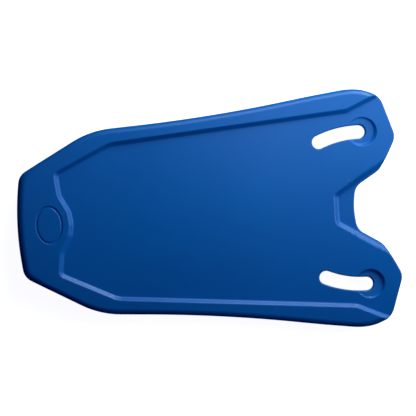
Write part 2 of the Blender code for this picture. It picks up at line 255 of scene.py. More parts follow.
# ------------------------------------------------------------------ the plate's shape
@dataclass(frozen=True)
class PlateForm:
    """The plate's own dimensions, and the heights that follow from them."""

    plate: Outline = Outline((
        (-193.2, 0.0, 328.0), (-186.3, 51.2, 16.0), (-113.1, 92.2, 91.0), (6.3, 99.1, 1575.0),
        (110.9, 115.0, 835.0), (145.9, 119.5, 70.0), (162.9, 118.2, 50.0), (178.6, 109.7, 20.0),
        (191.4, 69.0, 15.0), (182.1, 50.6, 206.0), (173.4, 36.5, 21.0), (148.8, 21.3, 15.0),
        (146.1, 0.0, 78.0),
    ))
    pocket: Outline = Outline((
        (-136.2, 0.0, 20.0), (-138.0, 12.2, 12.0), (-147.0, 28.6, 14.0), (-149.5, 50.4, 5.0),
        (-94.2, 77.2, 30.0), (144.3, 97.4, 12.0), (215.8, 129.7, 5.0), (230.8, 0.0, 5.0),
    ))
    recess: Outline = Outline(((129.0, 13.8, 5.0), (215.8, 67.0, 5.0), (225.8, 0.0, 5.0)))
    thickness: float = 3.0
    panel_top: float = 8.0
    pocket_wall: WallProfile = WallProfile(4.0, 48.0, 2.1, 2.0)
    pocket_back: WallProfile = WallProfile(4.0, 45.0, 5.4, 0.8, 1.24)
    recess_wall: WallProfile = WallProfile(4.0, 45.0, 2.4, 2.0)
    recess_back: WallProfile = WallProfile(4.0, 41.0, 5.6, 0.8, 1.2)
    crown_radius: float = 900.0
    flare_radius: float = 1100.0
    flare_start: float = 60.0
    kick_radius: float = 1800.0
    kick_start: float = -70.0
    slot_centre: Point = (153.9, -21.4)
    slot_radius: float = 97.3
    slot_angles: Point = (89.6, 113.6)
    slot_width: float = 13.4
    seat_centre: Point = (157.8, 76.7)
    seat_floor_radius: float = 12.9
    seat_mouth_radius: float = 15.4
    seat_depth: float = 2.4
    seat_slope: float = 1.6
    seat_back_slope: float = 1.2
    seat_blend: float = 0.7
    edge_radii: Triple = (1.3, 4.7, 2.0)
    badge_x: float = -158.2
    badge_radii: Point = (12.5, 18.0)
    badge_groove: float = 2.4
    badge_depth: float = 0.8
    lift: float = 0.0

    def bend(self, places: np.ndarray) -> np.ndarray:
        """Height that the plate's curvature and its stand over the floor add to each place."""
        x, y = places[:, 0], places[:, 1]
        crown = -y ** 2 / (2.0 * self.crown_radius)
        flare = np.maximum(0.0, x - self.flare_start) ** 2 / (2.0 * self.flare_radius)
        kick = np.maximum(0.0, self.kick_start - x) ** 2 / (2.0 * self.kick_radius)
        return crown + flare + kick + self.lift

    def walls(self, places: np.ndarray) -> list[np.ndarray]:
        """Distance of each place from the pocket's and the recess's wall, positive above it."""
        return [signed_distance(places, line.columns(1.2, 500.0)[0])
                for line in (self.pocket, self.recess)]

    def seat_reach(self, places: np.ndarray) -> np.ndarray:
        """Distance from the centre of the nearer washer seat."""
        x, y = self.seat_centre
        return np.hypot(places[:, 0] - x, np.abs(places[:, 1]) - y)

    def seat_height(self) -> float:
        """Height of the flat seat floors."""
        return self.panel_top + float(self.bend(np.array([self.seat_centre]))[0]) - self.seat_depth

    def badge_reach(self, places: np.ndarray) -> np.ndarray:
        """Distance from the centre line of the oval groove on the tail."""
        scaled = (places - np.array((self.badge_x, 0.0))) / np.array(self.badge_radii)
        size = np.maximum(np.linalg.norm(scaled, axis=1), 1e-6)
        slope = np.linalg.norm(scaled / np.array(self.badge_radii), axis=1) / size
        return np.abs(size - 1.0) / np.maximum(slope, 1e-6)

    def top(self, places: np.ndarray) -> np.ndarray:
        """Height of the outer face, before its edges are rounded."""
        pocket, recess = self.walls(places)
        level = (self.panel_top + self.pocket_wall.height(pocket)
                 - self.recess_wall.rise + self.recess_wall.height(recess))
        half = self.badge_groove / 2.0
        groove = np.clip(1.0 - (self.badge_reach(places) / half) ** 2, 0.0, 1.0)
        level = level - self.badge_depth * np.minimum(1.0, 1.6 * groove)
        ramp = np.maximum(0.0, self.seat_reach(places) - self.seat_floor_radius) * self.seat_slope
        return smooth_min(level + self.bend(places), self.seat_height() + ramp, self.seat_blend)

    def back(self, places: np.ndarray) -> np.ndarray:
        """Height of the inner face."""
        pocket, recess = self.walls(places)
        level = (self.panel_top + self.pocket_back.height(pocket) - self.thickness
                 - self.recess_back.rise + self.recess_back.height(recess))
        ramp = np.maximum(0.0, self.seat_reach(places) - self.seat_mouth_radius)
        seat = self.seat_height() - self.thickness + ramp * self.seat_back_slope
        return smooth_min(level + self.bend(places), seat, self.seat_blend)

    def edge_roll(self, places: np.ndarray) -> np.ndarray:
        """Radius of the outer edge's rounding: broad on the rim, small on the ears and notch."""
        pocket, _ = self.walls(places)
        rim = smoothstep(np.clip((pocket + 1.0) / 8.0, 0.0, 1.0))
        tail = np.clip((-168.0 - places[:, 0]) / 18.0, 0.0, 1.0)
        least, on_rim, on_tail = self.edge_radii
        return least + rim * (on_rim + on_tail * tail)

    def slot(self, side: int, step: float) -> Edge:
        """One slot's edge and outward normals; side is 1 at +Y and -1 at -Y."""
        edge = arc_slot(self.slot_centre, self.slot_radius, self.slot_angles, self.slot_width, step)
        return mirrored(edge, side)


# ------------------------------------------------------------------ mesh helpers
def places_of(verts: Sequence[BMVert]) -> np.ndarray:
    """Plan positions of some vertices."""
    return np.array([(v.co.x, v.co.y) for v in verts])


def new_loop(bm: BMesh, points: np.ndarray) -> list[BMEdge]:
    """Add a closed flat loop of edges."""
    verts = [bm.verts.new((p[0], p[1], 0.0)) for p in points]
    return [bm.edges.new((verts[i - 1], verts[i])) for i in range(len(verts))]


def ring_edges(bm: BMesh, ring: Sequence[BMVert]) -> list[BMEdge]:
    """The edges between a closed ring's vertices."""
    return [bm.edges.get((ring[i - 1], ring[i])) for i in range(len(ring))]


def flat_sheet(outline: np.ndarray, pitch: float, holes: Sequence[np.ndarray] = ()) -> BMesh:
    """A flat face inside an outline and round its holes, cut into squares."""
    bm = bmesh.new()
    edges = new_loop(bm, outline)
    for hole in holes:
        edges += new_loop(bm, hole)
    if holes:
        bmesh.ops.triangle_fill(bm, edges=edges, use_beauty=True)
    else:
        bmesh.ops.contextual_create(bm, geom=edges)
    low, high = outline.min(axis=0), outline.max(axis=0)
    for axis in range(2):
        normal = Vector((1.0, 0.0, 0.0)) if axis == 0 else Vector((0.0, 1.0, 0.0))
        first, last = math.ceil(low[axis] / pitch), math.floor(high[axis] / pitch)
        for number in range(first, last + 1):
            bmesh.ops.bisect_plane(
                bm, geom=bm.verts[:] + bm.edges[:] + bm.faces[:], dist=1e-3,
                plane_co=normal * (number * pitch), plane_no=normal)
    split_large_faces(bm)
    return bm


def split_large_faces(bm: BMesh) -> None:
    """Triangulate every face of more than four sides."""
    large = [face for face in bm.faces if len(face.verts) > 4]
    if large:
        bmesh.ops.triangulate(bm, faces=large)


def two_faces(bm: BMesh, top: Surface, bottom: Surface) -> BMesh:
    """Lift a flat sheet onto its upper surface, and return a flipped copy on the lower one."""
    under = bm.copy()
    for sheet, surface in ((bm, top), (under, bottom)):
        verts = list(sheet.verts)
        for vert, height in zip(verts, surface(places_of(verts))):
            vert.co.z = height
    bmesh.ops.reverse_faces(under, faces=under.faces)
    return under


def refine(bm: BMesh, reach: Surface, bands: Iterable[Point]) -> None:
    """Halve the edges near a feature, once for each band.

    Args:
        bm: The flat sheet.
        reach: Distance of plan positions from the feature.
        bands: For each halving, the distance within which it works and the longest edge it leaves.
    """
    for width, longest in bands:
        edges = list(bm.edges)
        middles = np.array([((e.verts[0].co + e.verts[1].co) / 2.0)[:2] for e in edges])
        near = reach(middles) < width
        chosen = [e for e, ok in zip(edges, near) if ok and e.calc_length() > longest]
        if chosen:
            bmesh.ops.subdivide_edges(bm, edges=chosen, cuts=1, use_grid_fill=True)
            split_large_faces(bm)


def open_hole(bm: BMesh, loop: np.ndarray, margin: float) -> None:
    """Cut a hole with a given edge into a flat sheet and fill the gap round it with triangles."""
    reach = signed_distance(places_of(list(bm.verts)), loop)
    near = {vert for vert, distance in zip(list(bm.verts), reach) if distance < margin}
    doomed = [face for face in bm.faces if any(vert in near for vert in face.verts)]
    rim = {edge for face in doomed for edge in face.edges}
    bmesh.ops.delete(bm, geom=doomed, context="FACES")
    rim_edges = [edge for edge in rim if edge.is_valid and edge.is_boundary]
    bmesh.ops.triangle_fill(bm, edges=rim_edges + new_loop(bm, loop), use_beauty=True)


def boundary_loops(bm: BMesh) -> list[list[BMVert]]:
    """The open edges' vertices, as one ordered list for each loop."""
    left = {edge for edge in bm.edges if edge.is_boundary}
    loops = []
    while left:
        edge = next(iter(left))
        start, vert = edge.verts
        chain = [start]
        left.discard(edge)
        while vert is not start:
            chain.append(vert)
            edge = next(e for e in vert.link_edges if e in left)
            left.discard(edge)
            vert = edge.other_vert(vert)
        loops.append(chain)
    return loops


def columns_at(loop: np.ndarray, normals: np.ndarray, places: np.ndarray, offset: float) -> Edge:
    """Feet and normals, on a sampled outline, of places that lie at an offset from it.

    Args:
        loop: The outline's samples.
        normals: Their unit normals.
        places: Plan positions on the outline moved by offset along its normals.
        offset: That distance.

    Returns:
        For each place, its foot on the outline and the normal there.
    """
    moved = loop + normals * offset
    ends, end_normals, end_feet = (np.roll(a, -1, axis=0) for a in (moved, normals, loop))
    along = ends - moved
    squared = np.maximum((along ** 2).sum(axis=1), TINY)
    delta = places[:, None, :] - moved
    share = np.clip((delta * along).sum(axis=2) / squared, 0.0, 1.0)
    gaps = ((delta - share[:, :, None] * along) ** 2).sum(axis=2)
    best = gaps.argmin(axis=1)
    part = share[np.arange(len(places)), best][:, None]
    feet = loop[best] * (1.0 - part) + end_feet[best] * part
    across = normals[best] * (1.0 - part) + end_normals[best] * part
    return feet, across / np.linalg.norm(across, axis=1)[:, None]


def extrude_ring(bm: BMesh, ring: list[BMVert], target: np.ndarray) -> list[BMVert]:
    """Extrude a closed ring of edges and put the new ring's vertices in place.

    Args:
        bm: The mesh.
        ring: The ring's vertices in order.
        target: The new ring's positions, one for each vertex.

    Returns:
        The new ring's vertices in the same order.
    """
    made = bmesh.ops.extrude_edge_only(bm, edges=ring_edges(bm, ring))["geom"]
    fresh = {item for item in made if isinstance(item, BMVert)}
    result = []
    for vert, place in zip(ring, target):
        mate = next(e.other_vert(vert) for e in vert.link_edges if e.other_vert(vert) in fresh)
        mate.co = place
        result.append(mate)
    return result


def append(bm: BMesh, other: BMesh, reach: float = 0.002) -> None:
    """Add another mesh to one and merge the vertices they share; the other mesh is freed."""
    mesh = bpy.data.meshes.new("appended")
    other.to_mesh(mesh)
    other.free()
    bm.from_mesh(mesh)
    bpy.data.meshes.remove(mesh)
    bmesh.ops.remove_doubles(bm, verts=bm.verts, dist=reach)
    bmesh.ops.recalc_face_normals(bm, faces=bm.faces)


def add_object(name: str, data: bpy.types.ID) -> bpy.types.Object:
    """A new object in the scene."""
    piece = bpy.data.objects.new(name, data)
    bpy.context.scene.collection.objects.link(piece)
    return piece


def store(bm: BMesh, name: str, flat_angle: float = 60.0) -> bpy.types.Object:
    """Store a mesh that is in millimetres as a smooth-shaded object in metres.

    Args:
        bm: The mesh, which is freed.
        name: The piece's name.
        flat_angle: Edges sharper than this many degrees stay sharp.

    Returns:
        The new object.
    """
    bmesh.ops.scale(bm, vec=(MM, MM, MM), verts=bm.verts)
    mesh = bpy.data.meshes.new(name)
    bm.to_mesh(mesh)
    bm.free()
    mesh.shade_smooth()
    mesh.set_sharp_from_angle(angle=math.radians(flat_angle))
    return add_object(name, mesh)


def positions(mesh: bpy.types.Mesh) -> np.ndarray:
    """A mesh's vertices, in millimetres."""
    flat = np.empty(len(mesh.vertices) * 3)
    mesh.vertices.foreach_get("co", flat)
    return flat.reshape(-1, 3) / MM


def move_to(mesh: bpy.types.Mesh, places: np.ndarray) -> None:
    """Put a mesh's vertices at places given in millimetres."""
    mesh.vertices.foreach_set("co", (places * MM).ravel())
    mesh.update()


def paint(mesh: bpy.types.Mesh, name: str, values: np.ndarray) -> None:
    """Store one number for each vertex as an attribute."""
    layer = mesh.attributes.new(name, "FLOAT", "POINT")
    layer.data.foreach_set("value", values)


# ------------------------------------------------------------------ the shell
@dataclass
class ShellPlate:
    """The moulded outer shell with its rim, pocket, notch recess, slots and washer seats."""

    form: PlateForm
    pitch: float = 5.6
    band: float = 10.0
    edge_step: float = 2.2
    slot_band: float = 2.4
    slot_step: float = 1.0
    slot_margin: float = 0.6
    slot_roll: float = 1.3
    slot_reach: Point = (1.35, 0.62)
    slot_drop: Point = (1.4, 0.95)
    slot_end: Point = (151.5, 159.0)
    slot_end_lean: float = 28.0
    slot_end_sharpening: float = 0.3
    slot_back_roll: float = 0.5
    lip: float = 0.8
    roll_steps: int = 8

    def build(self) -> bpy.types.Object:
        """Model the shell as one closed mesh.

        Returns:
            The undressed object.
        """
        loop, normals = self.form.plate.columns(self.edge_step)
        bm = flat_sheet(loop + normals * self.band, self.pitch)
        self._refine(bm)
        slots = [self.form.slot(side, self.slot_step) for side in (1, -1)]
        for points, outward in slots:
            open_hole(bm, points + outward * self.slot_band, self.slot_margin)
        back = two_faces(bm, self.form.top, self.form.back)
        rings = sorted(boundary_loops(bm), key=len, reverse=True)
        self._outer_edge(bm, rings[0], loop, normals)
        for ring in rings[1:]:
            self._slot_edge(bm, ring, *slots[0 if ring[0].co.y > 0.0 else 1])
        append(bm, back)
        piece = store(bm, "outer_shell_moulding", 75.0)
        self._smooth_normals(piece.data)
        return piece

    def _smooth_normals(self, mesh: bpy.types.Mesh) -> None:
        """Give the two broad faces the normals of the surfaces that they sample."""
        places = positions(mesh)
        plan = places[:, :2]
        flat = np.empty(len(mesh.vertices) * 3)
        mesh.vertex_normals.foreach_get("vector", flat)
        normals = flat.reshape(-1, 3)
        for surface, sign in ((self.form.top, 1.0), (self.form.back, -1.0)):
            on_face = np.abs(places[:, 2] - surface(plan)) < 1e-3
            chosen = plan[on_face]
            step = 0.05
            slopes = [(surface(chosen + shift) - surface(chosen - shift)) / (2.0 * step)
                      for shift in (np.array((step, 0.0)), np.array((0.0, step)))]
            exact = np.column_stack((-slopes[0], -slopes[1], np.ones(len(chosen)))) * sign
            exact /= np.linalg.norm(exact, axis=1)[:, None]
            agrees = (exact * normals[on_face]).sum(axis=1) > 0.9
            rows = np.flatnonzero(on_face)[agrees]
            normals[rows] = exact[agrees]
        mesh.normals_split_custom_set_from_vertices(normals)

    def _refine(self, bm: BMesh) -> None:
        """Make the sheet finer along its walls, seats, slots and groove."""
        form = self.form
        refine(bm, lambda p: np.minimum(*map(np.abs, form.walls(p))),
               ((9.0, 3.0), (7.0, 1.6), (5.0, 0.9)))
        refine(bm, lambda p: np.abs(form.seat_reach(p) - 14.4),
               ((7.0, 3.0), (5.0, 1.5), (3.4, 0.8)))
        refine(bm, form.badge_reach, ((6.0, 3.0), (4.5, 1.5), (3.0, 0.8), (2.2, 0.4)))
        for side in (1, -1):
            slot = form.slot(side, self.slot_step)[0]
            refine(bm, lambda p, s=slot: np.abs(signed_distance(p, s) - 3.0),
                   ((5.0, 3.0), (3.5, 1.6)))

    def _outer_edge(self, bm: BMesh, ring: list[BMVert], loop: np.ndarray,
                    normals: np.ndarray) -> None:
        """Roll the sheet's edge over into a skirt and bring it back to the inner face."""
        form = self.form
        places = places_of(ring)
        feet, across = columns_at(loop, normals, places, self.band)
        roll = form.edge_roll(feet)
        inner_roll = np.maximum(roll - form.thickness, 0.8)
        base = form.bend(feet)

        def at(inset: np.ndarray) -> np.ndarray:
            return feet + across * inset[:, None]

        def put(plan: np.ndarray, height: np.ndarray) -> None:
            nonlocal ring
            ring = extrude_ring(bm, ring, np.column_stack((plan, height)))

        for share in (0.75, 0.5, 0.25, 0.0):
            plan = at(roll + (self.band - roll) * share)
            put(plan, form.top(plan))
        for number in range(1, self.roll_steps + 1):
            angle = math.pi / 2.0 * number / self.roll_steps
            plan = at(roll * (1.0 - math.sin(angle)))
            put(plan, form.top(plan) - roll * (1.0 - math.cos(angle)))
        skirt_top = form.top(feet) - roll
        for share in (0.4, 0.8, 1.0):
            put(feet, skirt_top + (base + self.lip - skirt_top) * share)
        ones = np.ones(len(feet))
        nip = self.lip * (1.0 - math.sqrt(0.5))
        for inset, rise in ((nip, nip), (self.lip, 0.0), (form.thickness - self.lip, 0.0),
                            (form.thickness - nip, nip), (form.thickness, self.lip)):
            put(at(ones * inset), base + rise)
        wall = at(ones * form.thickness)
        skirt_top = form.back(wall) - inner_roll
        for share in (0.8, 0.4, 0.0):
            put(wall, skirt_top + (base + self.lip - skirt_top) * share)
        for number in range(self.roll_steps // 2 - 1, -1, -1):
            angle = math.pi / 2.0 * number / (self.roll_steps // 2)
            plan = at(form.thickness + inner_roll * (1.0 - math.sin(angle)))
            put(plan, form.back(plan) - inner_roll * (1.0 - math.cos(angle)))
        start = form.thickness + inner_roll
        for share in (0.33, 0.66):
            plan = at(start + (self.band - start) * share)
            put(plan, form.back(plan))
        put(places, form.back(places))

    def _slot_edge(self, bm: BMesh, ring: list[BMVert], loop: np.ndarray,
                   normals: np.ndarray) -> None:
        """Round the edge of a slot and take its wall through to the inner face."""
        form = self.form
        places = places_of(ring)
        feet, across = columns_at(loop, normals, places, self.slot_band)

        def put(offset: np.ndarray, surface: Surface, drop: np.ndarray) -> None:
            nonlocal ring
            plan = feet + across * offset[:, None]
            ring = extrude_ring(bm, ring, np.column_stack((plan, surface(plan) + drop)))

        start, end = self.slot_end
        share = smoothstep(np.clip((feet[:, 0] - start) / (end - start), 0.0, 1.0))
        reach = self.slot_reach[0] + self.slot_reach[1] * share
        radius = self.slot_roll - self.slot_end_sharpening * share
        turn = np.radians(90.0 - self.slot_end_lean * share)
        steps = 6
        for number in range(steps + 1):
            angle = turn * number / steps
            put(reach - radius * np.sin(angle), form.top, -radius * (1.0 - np.cos(angle)))
        put(0.0 * reach, form.top, -(self.slot_drop[0] + self.slot_drop[1] * share))
        back_roll = np.full(len(feet), self.slot_back_roll)
        put(0.0 * reach, form.back, back_roll)
        put(back_roll * 0.3, form.back, back_roll * 0.3)
        put(back_roll, form.back, 0.0 * reach)
        ring = extrude_ring(bm, ring, np.column_stack((places, form.back(places))))


# ------------------------------------------------------------------ the pad
def free_run(loop: np.ndarray, free: np.ndarray) -> np.ndarray:
    """The one run of a closed loop's samples that is free."""
    start = int(np.flatnonzero(free & ~np.roll(free, 1))[0])
    return np.roll(loop, -start, axis=0)[:int(free.sum())]


def line_distance(places: np.ndarray, lines: Sequence[Sequence[Point]]) -> np.ndarray:
    """Distance from each place to the nearest of some open lines."""
    result = np.full(len(places), 1e6)
    for line in lines:
        for start, end in zip(line, line[1:]):
            first, along = np.array(start), np.subtract(end, start)
            share = np.clip((places - first) @ along / (along @ along), 0.0, 1.0)
            gap = places - first - share[:, None] * along
            result = np.minimum(result, np.linalg.norm(gap, axis=1))
    return result


@dataclass(frozen=True)
class PadForm:
    """Plan and layer heights of the peel-off pad, over the plate's lower edge."""

    plate: PlateForm
    notch_corners: tuple[Triple, ...] = ((178.4, 44.1, 12.0), (129.0, 13.8, 9.0))
    impact_top: float = 2.2
    impact_bottom: float = -5.3
    comfort_top: float = -5.6
    lining_bottom: float = -11.9
    gap: float = 0.3
    tape: float = 1.0
    tape_inset: float = 4.0
    flap: float = 5.5
    slot_width: float = 26.0
    seat_radius: float = 20.5
    join_gap: float = 0.6
    channel_y: float = 26.0
    channel_starts: tuple[float, ...] = (-132.0, -82.0, -32.0, 18.0)

    def edge(self, inset: float, step: float) -> Edge:
        """The pad's outline, moved inwards, and its inward normals."""
        points, normals = Outline(self.plate.plate.corners[:9] + self.notch_corners).columns(step)
        return points + normals * inset, normals

    def at(self, level: float) -> Surface:
        """The bent surface at a height over the plate's lower edge."""
        return lambda places: self.plate.bend(places) + level

    def keyhole(self, side: int, step: float) -> Edge:
        """The edge of one opening, an arc slot that runs into a round seat.

        Args:
            side: 1 at +Y and -1 at -Y.
            step: Longest distance between two samples.

        Returns:
            The points and their normals, which point out of the opening.
        """
        plate = self.plate
        slot, _ = arc_slot(plate.slot_centre, plate.slot_radius, plate.slot_angles,
                           self.slot_width, step)
        count = math.ceil(2.0 * math.pi * self.seat_radius / step)
        angles = -np.arange(count) * 2.0 * math.pi / count
        ring_out = np.column_stack((np.cos(angles), np.sin(angles)))
        ring = np.array(plate.seat_centre) + ring_out * self.seat_radius
        reach = np.linalg.norm(slot - np.array(plate.seat_centre), axis=1)
        slot_run = free_run(slot, reach > self.seat_radius + self.join_gap)
        ring_run = free_run(ring, signed_distance(ring, slot) > self.join_gap)
        points = np.vstack((slot_run, ring_run))
        for _ in range(8):
            beside = np.roll(points, 1, axis=0) + np.roll(points, -1, axis=0)
            points = points * 0.5 + beside * 0.25
        along = np.roll(points, -1, axis=0) - np.roll(points, 1, axis=0)
        normals = np.column_stack((-along[:, 1], along[:, 0]))
        normals /= np.linalg.norm(normals, axis=1)[:, None]
        return mirrored((points, normals), side)

    def channels(self) -> list[list[Point]]:
        """The sewn lines: two along the spine and a row of chevrons on each side of them."""
        lines = []
        for side in (1.0, -1.0):
            y = side * self.channel_y
            lines.append([(-176.0, y), (112.0, y)])
            lines += [[(x, y), (x + 34.0, side * 120.0)] for x in self.channel_starts]
        return lines


@dataclass
class Slab:
    """A closed layer between two surfaces, with rounded edges and holes."""

    edge: Edge
    top: Surface
    bottom: Surface
    roll: float
    pitch: float
    holes: Sequence[Edge] = ()
    fine: Optional[Surface] = None
    fine_bands: Sequence[Point] = ()
    steps: int = 4

    def build(self) -> BMesh:
        """Model the layer.

        Returns:
            The closed mesh, in millimetres.
        """
        band = self.roll + 0.4
        bm = flat_sheet(self.edge[0] + self.edge[1] * band, self.pitch,
                        [points + outward * band for points, outward in self.holes])
        if self.fine:
            refine(bm, self.fine, self.fine_bands)
        under = two_faces(bm, self.top, self.bottom)
        for ring in boundary_loops(bm):
            self._wall(bm, ring, band)
        append(bm, under)
        return bm

    def _wall(self, bm: BMesh, ring: list[BMVert], band: float) -> None:
        """Round one edge over and take it down to the lower surface."""
        places = places_of(ring)
        edges = [self.edge, *self.holes]
        gaps = [np.abs(signed_distance(places[:1], p + n * band))[0] for p, n in edges]
        feet, across = columns_at(*edges[int(np.argmin(gaps))], places, band)
        turns = [math.pi / 2.0 * n / self.steps for n in range(self.steps + 1)]
        profile = [(self.roll * (1.0 - math.sin(a)), self.top, -self.roll * (1.0 - math.cos(a)))
                   for a in turns]
        profile += [(inset, self.bottom, -drop) for inset, _, drop in reversed(profile)]
        for inset, surface, drop in profile:
            plan = feet + across * inset
            ring = extrude_ring(bm, ring, np.column_stack((plan, surface(plan) + drop)))
        extrude_ring(bm, ring, np.column_stack((places, self.bottom(places))))


@dataclass
class Thread:
    """Rows of stitches, each a short bowed length of thread."""

    name: str
    pitch: float
    length: float
    radius: float

    def build(self, lines: Iterable[np.ndarray]) -> bpy.types.Object:
        """Sew along lines of points.

        Args:
            lines: For each row, its points in millimetres.

        Returns:
            The undressed object.
        """
        curve = bpy.data.curves.new(self.name, "CURVE")
        curve.dimensions = "3D"
        curve.bevel_depth = self.radius * MM
        curve.bevel_resolution = 1
        curve.use_fill_caps = True
        for line in lines:
            steps = np.linalg.norm(np.diff(line, axis=0), axis=1)
            travel = np.concatenate(([0.0], np.cumsum(steps)))
            for middle in np.arange(self.pitch, travel[-1] - self.pitch, self.pitch):
                reach = middle + np.array((-0.5, -0.25, 0.25, 0.5)) * self.length
                spots = [np.interp(reach, travel, line[:, axis]) for axis in range(3)]
                spline = curve.splines.new("POLY")
                spline.points.add(3)
                for point, spot in zip(spline.points, zip(*spots)):
                    point.co = (*(value * MM for value in spot), 1.0)
                for end in (0, 3):
                    spline.points[end].radius = 0.55
        source = bpy.data.objects.new(self.name, curve)
        mesh = bpy.data.meshes.new_from_object(source)
        bpy.data.objects.remove(source)
        bpy.data.curves.remove(curve)
        mesh.shade_smooth()
        return add_object(self.name, mesh)


@dataclass
class ImpactLayer:
    """The firm foam slab, with shallow vent grooves moulded into its outer face."""

    pad: PadForm
    groove_depth: float = 1.0
    groove_width: float = 3.0

    def build(self) -> bpy.types.Object:
        """Model the slab."""
        pad = self.pad
        flat = pad.at(pad.impact_top)

        def grooved(places: np.ndarray) -> np.ndarray:
            share = np.clip(1.0 - line_distance(places, pad.channels()) / self.groove_width, 0, 1)
            return flat(places) - self.groove_depth * smoothstep(share)

        slab = Slab(pad.edge(5.3, 3.0), grooved, pad.at(pad.impact_bottom), 1.6, 7.0,
                    [pad.keyhole(side, 2.2) for side in (1, -1)],
                    lambda p: line_distance(p, pad.channels()),
                    ((7.0, 3.6), (4.6, 1.9), (3.2, 1.0)))
        return store(slab.build(), "impact_foam_slab")


@dataclass
class BodyCushion:
    """The soft inner layer: foam in a spacer-mesh cover, sewn down along its channels."""

    pad: PadForm
    voxel: float = 4.5
    pressure: float = 4.0
    cap: float = 3.2
    frames: int = 20
    seam_inset: float = 6.0
    channel_depth: float = 2.6
    channel_width: float = 3.4
    seam_width: float = 1.6
    belly_drop: float = 1.4
    belly_reach: Point = (4.0, 16.0)
    lowest_drop: float = 2.6

    def build(self) -> bpy.types.Object:
        """Model the cushion, let it swell and sew its channels.

        Returns:
            The undressed object.
        """
        pad = self.pad
        slab = Slab(pad.edge(6.2, 3.0), pad.at(pad.comfort_top - 0.2),
                    pad.at(pad.lining_bottom + 0.4), 2.6, 7.0,
                    [pad.keyhole(side, 2.2) for side in (1, -1)])
        piece = store(slab.build(), "body_cushion")
        remesh = piece.modifiers.new("remesh", "REMESH")
        remesh.mode = "VOXEL"
        remesh.voxel_size = self.voxel * MM
        self._apply(piece)
        self._swell(piece)
        finer = piece.modifiers.new("finer", "SUBSURF")
        finer.levels = finer.render_levels = 1
        self._apply(piece)
        self._sew(piece.data)
        return piece

    @staticmethod
    def _apply(piece: bpy.types.Object) -> None:
        """Turn a piece's modifiers into its mesh."""
        graph = bpy.context.evaluated_depsgraph_get()
        shaped = bpy.data.meshes.new_from_object(piece.evaluated_get(graph))
        piece.modifiers.clear()
        piece.data = shaped
        shaped.shade_smooth()

    def _swell(self, piece: bpy.types.Object) -> None:
        """Inflate the cushion as cloth under pressure, and limit how far a point may move."""
        before = positions(piece.data)
        inset = self._inset(before)
        group = piece.vertex_groups.new(name="seam")
        group.add([int(i) for i in np.flatnonzero(inset < self.seam_inset)], 1.0, "REPLACE")
        cloth = piece.modifiers.new("cloth", "CLOTH")
        cloth.settings.quality = 5
        cloth.settings.use_pressure = True
        cloth.settings.uniform_pressure_force = self.pressure
        cloth.settings.effector_weights.gravity = 0.0
        cloth.settings.vertex_group_mass = "seam"
        scene = bpy.context.scene
        for number in range(1, self.frames + 1):
            scene.frame_set(number)
        self._apply(piece)
        scene.frame_set(1)
        moved = positions(piece.data) - before
        length = np.maximum(np.linalg.norm(moved, axis=1), TINY)
        share = np.minimum(1.0, self.cap / length)
        move_to(piece.data, before + moved * share[:, None])
        piece.vertex_groups.clear()

    def _inset(self, places: np.ndarray) -> np.ndarray:
        """Distance of each place inside the pad's outline or outside its openings."""
        inset = -signed_distance(places[:, :2], self.pad.edge(5.3, 3.0)[0])
        for side in (1, -1):
            opening = self.pad.keyhole(side, 2.2)[0]
            inset = np.minimum(inset, signed_distance(places[:, :2], opening))
        return inset

    def _sew(self, mesh: bpy.types.Mesh) -> None:
        """Press the sewn channels into the body side and keep clear of the layers around it."""
        places = positions(mesh)
        base = self.pad.plate.bend(places[:, :2])
        level = places[:, 2] - base
        gap = line_distance(places[:, :2], self.pad.channels())
        inset = self._inset(places)
        middle = (self.pad.comfort_top + self.pad.lining_bottom) / 2.0
        under = level < middle
        start, run = self.belly_reach
        belly = np.clip((inset - start) / run, 0.0, 1.0)
        level = np.where(under, level - self.belly_drop * belly * (2.0 - belly), level)
        press = self.channel_depth * np.exp(-(gap / self.channel_width) ** 2)
        level = np.where(under, level + press * np.clip(inset / self.seam_inset, 0.0, 1.0), level)
        lowest = self.pad.lining_bottom - self.lowest_drop * belly
        places[:, 2] = np.clip(level, lowest, self.pad.comfort_top) + base
        move_to(mesh, places)
        paint(mesh, "seam", np.exp(-(gap / self.seam_width) ** 2))

    def stitches(self, piece: bpy.types.Object) -> bpy.types.Object:
        """Thread along the bottom of every channel."""
        tree = bpy.context.evaluated_depsgraph_get()
        shown = piece.evaluated_get(tree)
        edge = self.pad.edge(15.0, 3.0)[0]
        rows = []
        for line in self.pad.channels():
            ends = np.array(line)
            count = int(np.linalg.norm(ends[1] - ends[0]) / 1.5)
            plan = ends[0] + (ends[1] - ends[0]) * np.linspace(0.0, 1.0, count)[:, None]
            plan = plan[signed_distance(plan, edge) < 0.0]
            path = []
            for x, y in plan:
                hit, spot, _, _ = shown.ray_cast((x * MM, y * MM, -0.02), (0.0, 0.0, 1.0))
                if hit:
                    path.append((x, y, spot.z / MM - 0.15))
            if len(path) > 4:
                rows.append(np.array(path))
        return Thread("channel_stitches", 4.2, 3.0, 0.38).build(rows)


